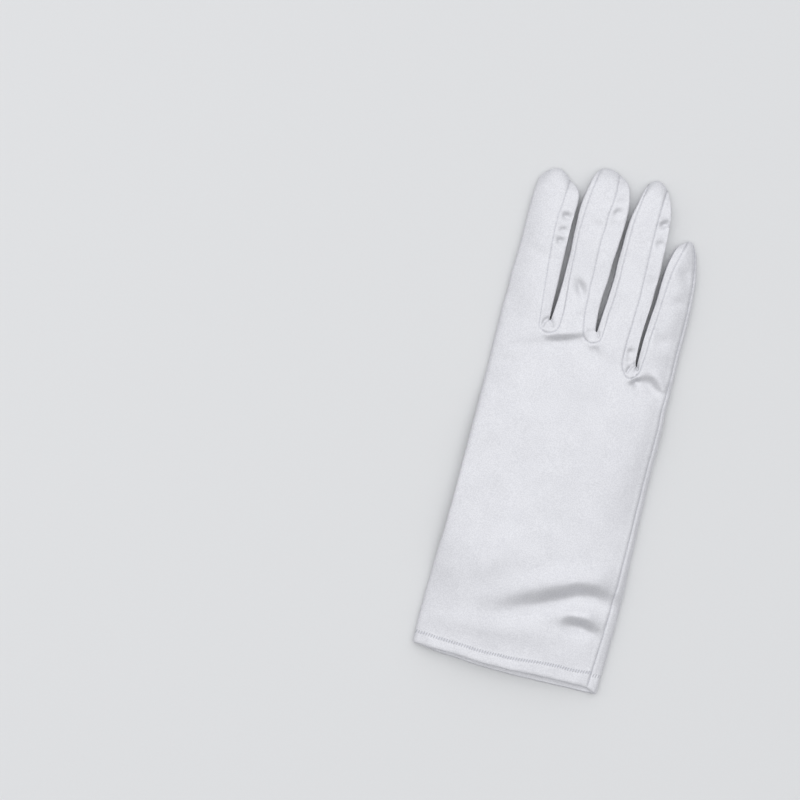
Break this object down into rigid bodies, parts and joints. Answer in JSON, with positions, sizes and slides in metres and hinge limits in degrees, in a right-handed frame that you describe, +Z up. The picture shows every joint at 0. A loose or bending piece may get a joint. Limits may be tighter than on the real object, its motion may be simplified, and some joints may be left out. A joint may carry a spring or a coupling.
{
  "type": "wrist length dress glove",
  "caption": "Wrist length dress glove in satin, lying palm down and hollow, with strips sewn between the fingers, a turned hem and the thumb tucked under.",
  "frame": {"origin": "middle of the glove's footprint, on the surface that it lies on", "axes": "+Y from the hem to the fingertips, +Z up out of the back of the hand, -X towards the index finger"},
  "size_m": [0.0876, 0.232, 0.0122],
  "materials": {
    "satin": "soft satin sheen"
  },
  "bodies": {
    "root": {"trank": "satin", "trank_index": "satin", "trank_middle_back": "satin", "trank_middle_palm": "satin", "trank_ring_back": "satin", "trank_ring_palm": "satin", "trank_little_back": "satin", "trank_little_palm": "satin", "cuff_hem": "satin", "thumb": "satin", "fourchette_index_middle": "satin", "fourchette_middle_ring": "satin", "fourchette_ring_little": "satin"}
  },
  "joints": []
}
